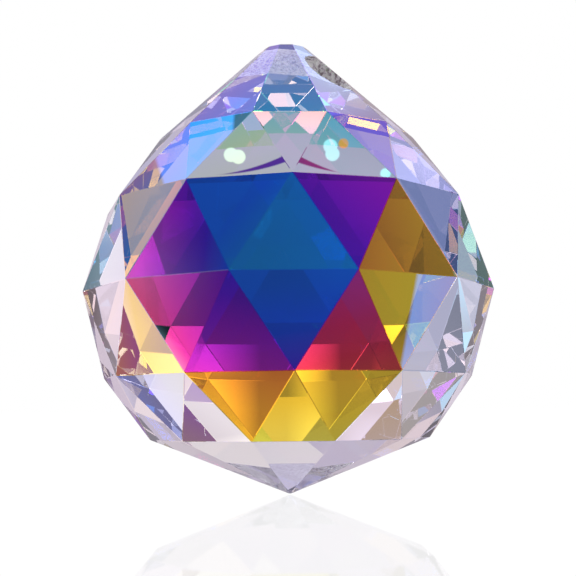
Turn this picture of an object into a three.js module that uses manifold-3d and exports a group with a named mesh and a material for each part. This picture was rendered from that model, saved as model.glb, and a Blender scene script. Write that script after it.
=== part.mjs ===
// Crystal suncatcher: one solid ball of clear crystal glass, ground and polished to flat facets,
// drawn up to a blunt cone and cross-drilled near its tip, so that it hangs from a ring or a cord.
// Millimetres, +Z up. The origin is the middle of the hanging hole, and +X runs along the hole.
import * as THREE from 'three';
import { ConvexGeometry } from 'three/addons/geometries/ConvexGeometry.js';
import { mergeVertices } from 'three/addons/utils/BufferGeometryUtils.js';
import Module from 'manifold-3d';

// The ball is sold by this size, across opposite corners of its widest ring
const BALL_DIAMETER = 30;

// Facets in each band round the axis
const FACETS = 12;

// Proportions of the cut, in ball radii: each ring of facet corners by its circle and its height
// over the widest ring. A ring that is turned has its corners half a facet on from the hole.
const CUT = {
  table: { circle: 0.118, height: 1.25, turned: false },
  shoulder: { circle: 0.637, height: 0.755, turned: false },
  upper: { circle: 0.893, height: 0.415, turned: true },
  girdle: { circle: 1.0, height: 0.0, turned: false },
  lower: { circle: 0.901, height: -0.4, turned: true },
  base: { circle: 0.68, height: -0.692, turned: false },
};
const POINT_HEIGHT = -0.962;

// The hanging hole is drilled straight through the cone, in at one ridge and out at the one opposite.
// Its height is in ball radii over the widest ring.
const HOLE_DIAMETER = 3.4;
const HOLE_HEIGHT = 1.065;
const HOLE_SIDES = 32;

// Sizes that follow from these
const ballRadius = BALL_DIAMETER / 2;
const facetAngle = (2 * Math.PI) / FACETS;
const holeLift = HOLE_HEIGHT * ballRadius;
const drillLength = BALL_DIAMETER;

// A point of the cut, with its height counted from the hole, which is the origin
function cutPoint(circle, height, angle) {
  return new THREE.Vector3(
    circle * ballRadius * Math.cos(angle),
    circle * ballRadius * Math.sin(angle),
    height * ballRadius - holeLift
  );
}

function ringCorners({ circle, height, turned }) {
  const start = turned ? facetAngle / 2 : 0;
  return Array.from({ length: FACETS }, (_, i) => cutPoint(circle, height, start + i * facetAngle));
}

// The polished form is convex, so its facets are the hull of the corners
function cutBall() {
  const corners = Object.values(CUT).flatMap(ringCorners);
  corners.push(cutPoint(0, POINT_HEIGHT, 0));
  return new ConvexGeometry(corners);
}

// The drill lies along X through the origin
function drill() {
  const radius = HOLE_DIAMETER / 2;
  return new THREE.CylinderGeometry(radius, radius, drillLength, HOLE_SIDES).rotateZ(Math.PI / 2);
}

const wasm = await Module();
wasm.setup();

function toSolid(geometry) {
  const bare = geometry.clone();
  bare.deleteAttribute('normal');
  bare.deleteAttribute('uv');
  const merged = mergeVertices(bare);
  const vertProperties = new Float32Array(merged.attributes.position.array);
  const triVerts = new Uint32Array(merged.index.array);
  return new wasm.Manifold(new wasm.Mesh({ numProp: 3, vertProperties, triVerts }));
}

function toGeometry(solid) {
  const mesh = solid.getMesh();
  const geometry = new THREE.BufferGeometry();
  geometry.setAttribute('position', new THREE.BufferAttribute(mesh.vertProperties, 3));
  geometry.setIndex(new THREE.BufferAttribute(mesh.triVerts, 1));
  geometry.computeVertexNormals();
  return geometry;
}

const coatedCrystal = new THREE.MeshStandardMaterial({
  color: 0xcfc4e6,
  roughness: 0.02,
  metalness: 0,
  transparent: true,
  opacity: 0.35,
  flatShading: true,
});

const crystal = new THREE.Mesh(toGeometry(toSolid(cutBall()).subtract(toSolid(drill()))), coatedCrystal);
crystal.name = 'crystal';

const suncatcher = new THREE.Group();
suncatcher.add(crystal);

export default suncatcher;
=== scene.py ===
import math

import bmesh
import bpy
from mathutils import Matrix, Vector, noise


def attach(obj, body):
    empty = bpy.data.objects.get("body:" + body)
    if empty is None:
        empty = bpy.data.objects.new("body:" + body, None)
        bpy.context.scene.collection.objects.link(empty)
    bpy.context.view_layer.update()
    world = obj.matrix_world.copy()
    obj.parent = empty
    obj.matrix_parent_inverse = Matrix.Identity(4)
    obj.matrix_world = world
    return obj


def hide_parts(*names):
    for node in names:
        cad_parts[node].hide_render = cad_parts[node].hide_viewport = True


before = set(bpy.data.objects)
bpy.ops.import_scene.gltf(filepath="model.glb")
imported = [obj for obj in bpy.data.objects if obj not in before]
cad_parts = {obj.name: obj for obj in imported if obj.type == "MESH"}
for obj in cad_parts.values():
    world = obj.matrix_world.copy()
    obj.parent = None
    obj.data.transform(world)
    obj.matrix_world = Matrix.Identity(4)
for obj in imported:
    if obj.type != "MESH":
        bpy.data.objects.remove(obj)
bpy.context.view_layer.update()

# Crystal ball
# One solid piece of clear lead-free crystal glass, pressed roughly to shape, then ground and polished
# to flat facets in bands of twelve: a blunt cone on top, a rounded body and a low point below.
MM = 0.001
BALL_RADIUS = 15 * MM
FACETS = 12
HOLE_HEIGHT = 1.065 * BALL_RADIUS

# Rings of facet corners from the tip down: circle and height over the widest ring in ball radii,
# and whether the ring's corners lie half a facet on from the hole
RINGS = {
    "table": (0.118, 1.25, False),
    "shoulder": (0.637, 0.755, False),
    "upper": (0.893, 0.415, True),
    "girdle": (1.0, 0.0, False),
    "lower": (0.901, -0.4, True),
    "base": (0.68, -0.692, False),
}
POINT_HEIGHT = -0.962

# Polishing leaves each edge between two facets very slightly round
ARRIS = 0.04 * MM
ARRIS_STEPS = 2

# Triangles of the hull that lie this flat to each other are one facet
SAME_FACET = math.radians(0.5)


def cut_corner(circle, height, angle):
    return Vector((
        circle * BALL_RADIUS * math.cos(angle),
        circle * BALL_RADIUS * math.sin(angle),
        height * BALL_RADIUS - HOLE_HEIGHT,
    ))


def cut_ball():
    cut = bmesh.new()
    for circle, height, turned in RINGS.values():
        for i in range(FACETS):
            angle = (i + 0.5 * turned) * math.tau / FACETS
            cut.verts.new(cut_corner(circle, height, angle))
    cut.verts.new(cut_corner(0, POINT_HEIGHT, 0))
    bmesh.ops.convex_hull(cut, input=cut.verts[:])
    bmesh.ops.dissolve_limit(cut, angle_limit=SAME_FACET, verts=cut.verts[:], edges=cut.edges[:])
    bmesh.ops.bevel(
        cut, geom=cut.edges[:], offset=ARRIS, offset_type="OFFSET", segments=ARRIS_STEPS, profile=0.5,
        affect="EDGES", clamp_overlap=True,
    )
    return cut


def as_object(shape, name):
    mesh = bpy.data.meshes.new(name)
    shape.to_mesh(mesh)
    shape.free()
    thing = bpy.data.objects.new(name, mesh)
    bpy.context.scene.collection.objects.link(thing)
    return thing


crystal = as_object(cut_ball(), "crystal_ball")

# Hanging hole
# Drilled across the cone with a diamond bit and left as it came from the drill: the wall is ground
# matt and finely chipped, and the rim is broken a little where the bit came through.
HOLE_RADIUS = 1.7 * MM
HOLE_SIDES = 72
DRILL_LENGTH = 24 * MM
DRILL_RINGS = 120
CHIP_SIZE = 0.35 * MM
CHIP_DEPTH = 0.09 * MM


def rough_drill():
    bit = bmesh.new()
    rings = []
    for j in range(DRILL_RINGS + 1):
        along = (j / DRILL_RINGS - 0.5) * DRILL_LENGTH
        ring = []
        for i in range(HOLE_SIDES):
            angle = i * math.tau / HOLE_SIDES
            spot = Vector((along, HOLE_RADIUS * math.cos(angle), HOLE_RADIUS * math.sin(angle)))
            depth = CHIP_DEPTH * noise.noise(spot / CHIP_SIZE)
            spot.yz *= 1 + depth / HOLE_RADIUS
            ring.append(bit.verts.new(spot))
        rings.append(ring)
    for near, far in zip(rings, rings[1:]):
        for i in range(HOLE_SIDES):
            k = (i + 1) % HOLE_SIDES
            bit.faces.new((near[i], near[k], far[k], far[i]))
    bit.faces.new(rings[0][::-1])
    bit.faces.new(rings[-1])
    bmesh.ops.recalc_face_normals(bit, faces=bit.faces[:])
    return bit


drill = as_object(rough_drill(), "drill")
bore = crystal.modifiers.new("bore", "BOOLEAN")
bore.object = drill
bore.operation = "DIFFERENCE"
bore.solver = "EXACT"
drilled = bpy.data.meshes.new_from_object(
    crystal.evaluated_get(bpy.context.evaluated_depsgraph_get())
)
crystal.modifiers.clear()
crystal.data = drilled
bpy.data.objects.remove(drill)

# Slivers that the cut leaves along the rim are closed up
SLIVER = 0.003 * MM
rim = bmesh.new()
rim.from_mesh(drilled)
bmesh.ops.remove_doubles(rim, verts=rim.verts[:], dist=SLIVER)
bmesh.ops.dissolve_degenerate(rim, dist=SLIVER, edges=rim.edges[:])
rim.to_mesh(drilled)
rim.free()

# Rainbow coating
# Metal oxide films under a fifth of a micrometre thick, laid on in a vacuum from one side. They thin
# out from the middle of that side to its rim, and more so on facets that turn away from it.
COAT_AZIMUTH = math.radians(38.2)
COAT_RISE = math.radians(8.4)
FILM_NM = 170
FILM_INDEX = 2.8
GLASS_INDEX = 1.55

# How steeply the film thins out round the ball and up or down it, and how far a facet may turn to
# the side before the film starts to end, and where it has ended
FALL_ROUND = 0.35
FALL_UP = 1.28
FILM_ENDS = 0.56
FILM_GONE = 0.94

# The film's thickness also changes across each facet, as if the facet were domed by these shares of the
# ball's own curve. This lets the film's edge run across facets, and is also painted shading: it shifts
# each facet's colour from one side to the other where light and shade would fall across it.
DOME_AND_SHADE_UP = 0.33
DOME_AND_SHADE_LEFT = 0.36
DOME_AND_SHADE_RIGHT = 0.10

# Facets that face up this much belong to the cone, where the film mirrors well and stains little
CONE_FACING = 0.68
CONE_FILM = 0.93
CONE_STAIN = 0.45

# Colour of the light that comes through, by the thickness of the film in nanometres
FILM_COLOURS = {
    0: "#ffffff", 36: "#ececff", 64: "#f4f0ff", 80: "#fff4f0", 90: "#fff0d4", 96: "#f4e060",
    103: "#e8d040", 111: "#ecc83a", 115: "#f0c23a", 119: "#e8ac3a", 123: "#d88838", 127: "#c85a40",
    130: "#c84058", 133: "#d03674", 136: "#cc3e9c", 139: "#c236b2", 143: "#b22cc2", 147: "#9c18cc",
    150: "#7818cc", 153: "#5024d0", 156: "#1860dc", 160: "#0878d8", 164: "#007ce0", 170: "#00a8d0",
}
BALL_MIDDLE = Vector((0, 0, -HOLE_HEIGHT))
coat_axis = Vector((
    math.sin(COAT_AZIMUTH) * math.cos(COAT_RISE),
    -math.cos(COAT_AZIMUTH) * math.cos(COAT_RISE),
    math.sin(COAT_RISE),
))
coat_side = Vector((math.cos(COAT_AZIMUTH), math.sin(COAT_AZIMUTH), 0))
coat_up = coat_side.cross(coat_axis)


def is_bored(face):
    corners = [drilled.vertices[index].co for index in face.vertices]
    return all(math.hypot(spot.y, spot.z) < HOLE_RADIUS + CHIP_DEPTH for spot in corners)


def film_on(facing):
    ahead, aside = facing.dot(coat_axis), facing.dot(coat_side)
    level = math.hypot(ahead, aside)
    turn = max(0.0, ahead / level)
    kept = min(1.0, max(0.0, (FILM_GONE - abs(aside)) / (FILM_GONE - FILM_ENDS)))
    smooth = kept ** 2 * (3 - 2 * kept)
    return FILM_NM * smooth * turn ** (FALL_UP + FALL_ROUND * level ** 3) * level ** FALL_UP


film = drilled.attributes.new("film_nm", "FLOAT", "CORNER")
stain = drilled.attributes.new("stain_nm", "FLOAT", "CORNER")
for face in drilled.polygons:
    on_cone = face.normal.z > CONE_FACING
    dome_and_shade_side = DOME_AND_SHADE_LEFT if face.normal.dot(coat_side) < 0 else DOME_AND_SHADE_RIGHT
    for corner in face.loop_indices:
        spot = drilled.vertices[drilled.loops[corner].vertex_index].co
        # Painted shading as well as the film's spread: each corner takes its film from a facing leant
        # towards the ball's curve
        bend = (spot - BALL_MIDDLE).normalized() - face.normal
        lean = dome_and_shade_side * bend.dot(coat_side) * coat_side + DOME_AND_SHADE_UP * bend.dot(coat_up) * coat_up
        facing = (face.normal + lean).normalized()
        nm = 0.0 if is_bored(face) else film_on(facing)
        film.data[corner].value = CONE_FILM * nm if on_cone else nm
        stain.data[corner].value = CONE_STAIN * nm if on_cone else nm


def srgb(code):
    channels = [int(code[i:i + 2], 16) / 255 for i in (1, 3, 5)]
    return [c / 12.92 if c <= 0.04045 else ((c + 0.055) / 1.055) ** 2.4 for c in channels] + [1.0]


def add(tree, kind, settings=None, links=None):
    node = tree.nodes.new(kind)
    for key, value in (settings or {}).items():
        if isinstance(key, int) or key in node.inputs:
            node.inputs[key].default_value = value
        else:
            setattr(node, key, value)
    for key, source in (links or {}).items():
        tree.links.new(source, node.inputs[key])
    return node


def set_stops(ramp, colours):
    stops = ramp.color_ramp.elements
    while len(stops) < len(colours):
        stops.new(1.0)
    for stop, (position, colour) in zip(stops, colours.items()):
        stop.position = position
        stop.color = colour


def new_material(name):
    material = bpy.data.materials.new(name)
    material.use_nodes = True
    material.node_tree.nodes.clear()
    return material, material.node_tree


# Clear polished glass. The film gives each facet one colour in the light it passes and another in the
# light it throws back. Light is stained once for each face it crosses, so the glass takes the square of
# the film's colour. Towards a spot a little to one side of the coated side's middle it is darkened:
# painted shade.
PAINTED_SHADE_SPOT = BALL_MIDDLE + BALL_RADIUS * Vector((0.50, -0.84, 0.06))
PAINTED_SHADE_REACH = 0.75 * BALL_RADIUS
PAINTED_SHADE_LEVEL = 0.5
coated, tree = new_material("coated_crystal_glass")
thickness = add(tree, "ShaderNodeAttribute", {"attribute_name": "film_nm"})
staining = add(tree, "ShaderNodeAttribute", {"attribute_name": "stain_nm"})
share = add(tree, "ShaderNodeMapRange", {"From Max": FILM_NM}, {"Value": staining.outputs["Fac"]})
film_colour = add(tree, "ShaderNodeValToRGB", {}, {"Fac": share.outputs["Result"]})
set_stops(film_colour, {
    nm / FILM_NM: [channel ** 2 for channel in srgb(code)] for nm, code in FILM_COLOURS.items()
})
# Painted shade: the glass's colour is darkened to half towards a spot a little to one side of the ball's
# middle
place = add(tree, "ShaderNodeTexCoord")
off = add(
    tree, "ShaderNodeVectorMath", {"operation": "DISTANCE", 1: PAINTED_SHADE_SPOT}, {0: place.outputs["Object"]},
)
clear = add(
    tree, "ShaderNodeMapRange",
    {"interpolation_type": "SMOOTHSTEP", "From Max": PAINTED_SHADE_REACH, "To Min": PAINTED_SHADE_LEVEL},
    {"Value": off.outputs["Value"]},
)
tint = add(
    tree, "ShaderNodeMix", {"data_type": "RGBA", "blend_type": "MULTIPLY", 0: 1.0},
    {6: film_colour.outputs["Color"], 7: clear.outputs["Result"]},
)
glass = add(
    tree, "ShaderNodeBsdfPrincipled",
    {"Roughness": 0.0, "IOR": GLASS_INDEX, "Transmission Weight": 1.0, "Thin Film IOR": FILM_INDEX},
    {"Base Color": tint.outputs[2], "Thin Film Thickness": thickness.outputs["Fac"]},
)
add(tree, "ShaderNodeOutputMaterial", {}, {"Surface": glass.outputs["BSDF"]})

# Matt ground glass. Its colour holds painted shade and painted sparkle: grey where light would be lost
# between the chips and white where they would catch it
GRAIN = 0.26 * MM
GRAIN_DEPTH = 0.4 * GRAIN
PAINTED_CHIP_SHADE_AND_SPARKLE = {0.36: "#84747c", 0.44: "#ccc0cc", 0.50: "#f4eef4", 0.54: "#ffffff"}
ground, tree = new_material("ground_crystal_glass")
place = add(tree, "ShaderNodeTexCoord")
grain = add(
    tree, "ShaderNodeTexNoise", {"Scale": 1 / GRAIN, "Detail": 3.0}, {"Vector": place.outputs["Object"]},
)
# Painted shade and painted sparkle: the grain noise sets the glass's colour from grey to white
painted_chip_light = add(tree, "ShaderNodeValToRGB", {}, {"Fac": grain.outputs["Fac"]})
set_stops(painted_chip_light, {level: srgb(code) for level, code in PAINTED_CHIP_SHADE_AND_SPARKLE.items()})
chips = add(
    tree, "ShaderNodeBump", {"Strength": 1.0, "Distance": GRAIN_DEPTH}, {"Height": grain.outputs["Fac"]},
)
frosted = add(
    tree, "ShaderNodeBsdfPrincipled",
    {"Roughness": 0.45, "IOR": GLASS_INDEX, "Transmission Weight": 0.5},
    {"Base Color": painted_chip_light.outputs["Color"], "Normal": chips.outputs["Normal"]},
)
add(tree, "ShaderNodeOutputMaterial", {}, {"Surface": frosted.outputs["BSDF"]})

drilled.materials.clear()
drilled.materials.append(coated)
drilled.materials.append(ground)
for face in drilled.polygons:
    face.material_index = int(is_bored(face))

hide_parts("crystal")
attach(crystal, "root")

# Table
# A sheet of white opal acrylic, lit from below as on a product table, so it is even and bright and
# mirrors the crystal only faintly.
FLOOR_Z = POINT_HEIGHT * BALL_RADIUS - HOLE_HEIGHT
FLOOR_SIZE = 4.0
FLOOR_GAP = 0.01 * MM

sheet = bmesh.new()
bmesh.ops.create_grid(sheet, x_segments=1, y_segments=1, size=FLOOR_SIZE / 2)
bmesh.ops.translate(sheet, verts=sheet.verts[:], vec=(0, 0, FLOOR_Z - FLOOR_GAP))
table = as_object(sheet, "table")

# Glossy opal plastic: an even white glow with a weak, slightly blurred mirror image on it
acrylic, tree = new_material("opal_acrylic")
glow = add(tree, "ShaderNodeEmission", {"Color": srgb("#ffffff"), "Strength": 0.82})
gloss = add(tree, "ShaderNodeBsdfGlossy", {"Color": srgb("#7c7c7c"), "Roughness": 0.03})
both = add(tree, "ShaderNodeAddShader", {}, {0: glow.outputs["Emission"], 1: gloss.outputs["BSDF"]})
add(tree, "ShaderNodeOutputMaterial", {}, {"Surface": both.outputs["Shader"]})
table.data.materials.append(acrylic)
table.visible_glossy = False
table.visible_transmission = False

# Studio light
# A white tent with softboxes behind the crystal, at both sides and overhead, and small spot lamps on
# the camera's side. That side is dark to the facets that mirror it and dim to the light that passes.
CAMERA_AZIMUTH = math.radians(43.53)
out = Vector((math.sin(CAMERA_AZIMUTH), -math.cos(CAMERA_AZIMUTH), 0))
side = Vector((math.cos(CAMERA_AZIMUTH), math.sin(CAMERA_AZIMUTH), 0))
up = Vector((0, 0, 1))

scene = bpy.context.scene
studio = bpy.data.worlds.new("studio")
studio.use_nodes = True
scene.world = studio
tree = studio.node_tree
tree.nodes.clear()
way = add(tree, "ShaderNodeTexCoord").outputs["Generated"]
behind = add(tree, "ShaderNodeVectorMath", {"operation": "DOT_PRODUCT", 1: -out}, {0: way})
beside = add(tree, "ShaderNodeVectorMath", {"operation": "DOT_PRODUCT", 1: side}, {0: way})
above = add(tree, "ShaderNodeVectorMath", {"operation": "DOT_PRODUCT", 1: up}, {0: way})
bearing = add(
    tree, "ShaderNodeMath", {"operation": "ARCTAN2"},
    {0: beside.outputs["Value"], 1: behind.outputs["Value"]},
)
elevation = add(tree, "ShaderNodeMath", {"operation": "ARCSINE"}, {0: above.outputs["Value"]})


# Places and sizes in the tent are in degrees: right of straight behind the crystal, and up from level
def disc(right, rise, outer, inner):
    turn, lift = math.radians(right), math.radians(rise)
    centre = math.cos(lift) * (math.sin(turn) * side - math.cos(turn) * out) + math.sin(lift) * up
    near = add(tree, "ShaderNodeVectorMath", {"operation": "DOT_PRODUCT", 1: centre}, {0: way})
    soft = {
        "interpolation_type": "SMOOTHSTEP",
        "From Min": math.cos(math.radians(outer)),
        "From Max": math.cos(math.radians(inner)),
    }
    return add(tree, "ShaderNodeMapRange", soft, {"Value": near.outputs["Value"]}).outputs["Result"]


def panel(right, rise, width, height, blur=0.2):
    windows = []
    for angle, middle, size in ((bearing, right, width), (elevation, rise, height)):
        way_off = {"operation": "SUBTRACT", 1: math.radians(middle)}
        off = add(tree, "ShaderNodeMath", way_off, {0: angle.outputs["Value"]})
        far = add(tree, "ShaderNodeMath", {"operation": "ABSOLUTE"}, {0: off.outputs["Value"]})
        edge = {"From Min": math.radians(size + blur) / 2, "From Max": math.radians(size - blur) / 2}
        window = add(tree, "ShaderNodeMapRange", edge, {"Value": far.outputs["Value"]})
        windows.append(window.outputs["Result"])
    both = add(tree, "ShaderNodeMath", {"operation": "MULTIPLY"}, {0: windows[0], 1: windows[1]})
    return both.outputs["Value"]


# Each patch covers those before it, on a tent of plain cloth. Light levels are linear, 1 being white.
CLOTH = (0.62, 0.55, 0.64)


def tent(patches):
    light = None
    for mask, colour in patches:
        colours = {"data_type": "RGBA", 6: (*CLOTH, 1), 7: (*colour, 1)}
        patch = add(tree, "ShaderNodeMix", colours, {0: mask, 6: light} if light else {0: mask})
        light = patch.outputs[2]
    return light


# The side walls, the shade at the table's far edge and the unlit room round the camera
UNLIT = (0.015, 0.015, 0.03)
camera_side = disc(180, 0, 80, 77)
below_camera = disc(180, -75, 40, 30)
overhead_box = disc(0, 90, 26, 24)
left_softbox = panel(-69, 0, 46, 90)
right_softbox = panel(69, 0, 46, 90)
walls = [
    (disc(90, 0, 55, 30), (0.58, 0.53, 0.68)),
    (disc(-90, 0, 55, 30), (0.66, 0.62, 0.74)),
    (disc(0, -38, 30, 16), (0.40, 0.36, 0.46)),
    (left_softbox, (0.85, 0.78, 0.92)),
]

# What shows through the glass
FRAME_BARS = (-90, -74, -60, 64, 82)
SPARKS = (
    (125, 4), (-126, 6), (166, 52), (-168, 56), (142, 8), (-140, 10),
    (172, -34), (-172, -30), (120, -32), (-124, -36), (152, 62), (-150, 63),
    (168, 8), (-168, 12), (132, -14), (-132, -16), (150, 28), (-148, 26),
)
passed = tent([
    # The walls, with the bars of the softbox frames
    *walls,
    (right_softbox, (0.92, 0.82, 0.90)),
    *[(panel(right, 0, 4, 90), (0.22, 0.18, 0.34)) for right in FRAME_BARS],
    # Folds and shades on the cloth behind the crystal
    (disc(-45, 45, 14, 6), (0.85, 0.68, 0.66)),
    (disc(35, 45, 14, 6), (0.60, 0.52, 0.56)),
    (disc(-4, 0, 34, 6), (0.42, 0.52, 0.62)),
    (disc(0, -12, 13, 4), (0.56, 0.46, 0.66)),
    (disc(-79, -25, 6, 3), (0.4, 0.8, 2.0)),
    (disc(-35, 5, 9, 5), (0.30, 0.31, 0.40)),
    (disc(-54, -4, 7, 4), (0.45, 0.50, 0.66)),
    (disc(-38, -18, 24, 8), (0.22, 0.26, 0.40)),
    (disc(-40, 16, 12, 5), (0.45, 0.85, 1.1)),
    (disc(22, 30, 24, 8), (1.15, 0.98, 0.86)),
    (disc(-18, 22, 16, 6), (0.42, 0.42, 0.45)),
    (disc(-27, 29, 8, 5), (0.27, 0.27, 0.32)),
    (disc(8, 38, 14, 6), (1.0, 0.95, 0.85)),
    (disc(2, 21, 18, 12), (0.50, 0.42, 0.46)),
    # Soft lamps and brighter or darker spots on that cloth
    (panel(-10.5, 23, 7, 20, 3), (1.6, 1.4, 1.4)),
    (panel(-10.5, 19, 7, 8, 3), (2.6, 2.2, 2.2)),
    (panel(0, 31, 6, 6, 3), (1.1, 0.85, 0.85)),
    (panel(3.5, 24, 4, 14, 3), (2.0, 1.65, 1.6)),
    (panel(16.5, 27, 7, 8, 3), (2.6, 2.2, 2.1)),
    (panel(13.5, 15, 7, 8, 3), (2.2, 1.9, 1.7)),
    (disc(20, -1, 6, 3), (1.3, 1.05, 1.2)),
    (disc(-15, -10, 6, 3), (0.70, 0.55, 0.75)),
    (panel(28.5, 22.5, 11, 7, 3), (2.5, 2.1, 2.1)),
    (disc(35, 0, 17, 6), (1.15, 0.95, 0.92)),
    (disc(43.5, -8, 6, 3), (2.2, 1.8, 1.9)),
    (disc(34, -27, 16, 8), (0.36, 0.40, 0.62)),
    # The dim camera side, the dark below it and the box overhead
    (camera_side, (0.55, 0.50, 0.62)),
    (below_camera, UNLIT),
    (disc(155, -15, 7, 4), (0.15, 0.12, 0.35)),
    (overhead_box, (0.80, 0.76, 0.90)),
    # Coloured and white lamps round the camera, and the smallest ones, which sparkle
    (disc(-100, -50, 12, 7), (0.8, 1.6, 6.0)),
    (panel(155, 14, 9, 16), (1.8, 2.2, 3.6)),
    (panel(155, 28, 8, 8), (5, 4.4, 3)),
    (panel(-155, 14, 7, 16), (2.6, 2.6, 2.6)),
    (disc(160, -61, 7, 4), (0.2, 1.2, 0.8)),
    (disc(-142, -43, 5, 3), (0.02, 0.6, 0.8)),
    (panel(145, -52, 9, 9), (1.8, 12, 1.9)),
    (panel(-160, -60, 10, 7), (4, 4, 4)),
    (panel(-151, -52, 8, 8), (1.8, 12, 1.8)),
    (panel(158, -28, 8, 8), (2.5, 2.5, 2.5)),
    (panel(-160, 36, 10, 6), (2, 2, 2)),
    (panel(160, 40, 10, 6), (2, 2, 2)),
    (panel(-172, 3, 10, 10), (2.2, 1.6, 1.0)),
    (panel(-164, 6, 9, 14), (0.8, 1.6, 5.0)),
    (panel(-164, -7, 10, 8), (0.8, 1.3, 1.0)),
    (panel(-135, -25, 10, 12), (0.3, 1.4, 1.5)),
    *[(disc(right, rise, 1.7, 1.2), (6, 6, 6)) for right, rise in SPARKS],
])

# What the facets mirror
SPOT_LAMPS = ((-101.8, 72), (-102.8, 72.3), (95.4, 70), (94.4, 70.3))
OVERHEAD_LIGHT = (1.04, 0.98, 1.06)
STREAK = (0.08, 0.06, 0.08)
mirrored = tent([
    # The walls, with blue lamps high on them
    *walls,
    (right_softbox, (0.50, 0.52, 0.70)),
    (disc(66, 29, 12, 7), (0.16, 0.22, 0.50)),
    (disc(44, 17, 9, 5), (0.45, 0.66, 0.66)),
    (disc(-69, 33, 12, 6), (0.74, 0.72, 0.86)),
    (disc(-40, 16, 12, 5), (0.45, 0.75, 0.85)),
    (disc(-46, -28, 9, 4), (0.35, 0.30, 0.65)),
    (panel(-29, 54, 18, 16), (0.95, 1.15, 1.8)),
    (panel(-51, 50, 24, 18), (1.0, 1.5, 2.6)),
    (panel(31, 54, 30, 16), (1.1, 1.7, 4.0)),
    (disc(46, 46, 14, 8), (0.8, 0.9, 2.0)),
    # The dark camera side, the box overhead and what hangs at both sides of the camera
    (camera_side, UNLIT),
    (below_camera, UNLIT),
    (overhead_box, OVERHEAD_LIGHT),
    (disc(-98, 6, 26, 6), (0.55, 0.45, 0.62)),
    (disc(-107, -16, 10, 8), (1.3, 1.1, 1.3)),
    (panel(102.5, -10, 14.5, 22), (1.5, 1.6, 1.7)),
    (panel(97, 25, 14, 30), (2.4, 1.3, 0.6)),
    # Two dark crescents on the edge of the overhead box
    (disc(-64.59, 73.51, 12.05, 11.95), STREAK),
    (disc(-65.3, 72.31, 12.05, 11.95), OVERHEAD_LIGHT),
    (disc(62.57, 70.18, 12.05, 11.95), STREAK),
    (disc(64.08, 68.34, 12.05, 11.95), OVERHEAD_LIGHT),
    # Low patches on the walls, which the facets at the rim mirror
    (disc(-74, -54, 10, 6), (0.65, 0.75, 3.1)),
    (disc(68, -49, 10, 6), (1.0, 0.9, 1.4)),
    (disc(-80, -17, 8, 4), (1.0, 0.85, 1.1)),
    (disc(-64, -35, 8, 4), (0.4, 0.55, 3.0)),
    (disc(43, -2, 14, 8), (1.2, 1.05, 1.2)),
    (disc(75, -15, 9, 5), (0.72, 0.66, 0.80)),
    (disc(58, -32, 9, 5), (0.95, 0.80, 0.80)),
    (disc(-21, -4, 8, 5), (0.42, 0.32, 0.42)),
    (disc(-47, 0, 10, 5), (0.85, 0.60, 0.62)),
    (disc(-28, -14, 9, 5), (0.95, 0.70, 0.58)),
    # Spot lamps
    *[(disc(right, rise, 0.45, 0.33), (2.4, 2.4, 2.4)) for right, rise in SPOT_LAMPS],
    (disc(93.1, 69.7, 0.32, 0.22), (4.0, 0.9, 0.2)),
    (disc(94.45, 66.85, 0.35, 0.2), (1.8, 2.6, 2.6)),
])

# The camera and the table's mirror image see plain white behind the crystal
path = add(tree, "ShaderNodeLightPath")
WHITE = (1, 1, 1, 1)
polished = add(
    tree, "ShaderNodeMix", {"data_type": "RGBA"},
    {0: path.outputs["Is Transmission Ray"], 6: mirrored, 7: passed},
)
seen = add(
    tree, "ShaderNodeMix", {"data_type": "RGBA", 6: WHITE},
    {0: path.outputs["Is Singular Ray"], 7: polished.outputs[2]},
)
sky = add(tree, "ShaderNodeBackground", {}, {"Color": seen.outputs[2]})
add(tree, "ShaderNodeOutputWorld", {}, {"Surface": sky.outputs["Background"]})

# Camera
# At the photograph's viewing angle: five ball radii off, a little under the ball's middle.
CAMERA_DISTANCE = 5.0 * BALL_RADIUS
CAMERA_DROP = math.radians(6.38)
CAMERA_TILT = math.radians(6.84)
CAMERA_ROLL = math.radians(0.58)
FOCAL_PIXELS = 1011
IMAGE_PIXELS = 576
SENSOR_MM = 36
GLASS_BOUNCES = 24

lens = bpy.data.cameras.new("camera")
lens.sensor_width = SENSOR_MM
lens.lens = FOCAL_PIXELS * SENSOR_MM / IMAGE_PIXELS
lens.clip_start = MM
camera = bpy.data.objects.new("camera", lens)
scene.collection.objects.link(camera)
spot = BALL_MIDDLE + CAMERA_DISTANCE * (math.cos(CAMERA_DROP) * out - math.sin(CAMERA_DROP) * up)
look = math.sin(CAMERA_TILT) * up - math.cos(CAMERA_TILT) * out
turn = look.to_track_quat("-Z", "Y").to_matrix().to_4x4()
camera.matrix_world = Matrix.Translation(spot) @ turn @ Matrix.Rotation(-CAMERA_ROLL, 4, "Z")
scene.camera = camera

scene.view_settings.view_transform = "Standard"
scene.cycles.max_bounces = GLASS_BOUNCES
scene.cycles.transmission_bounces = GLASS_BOUNCES
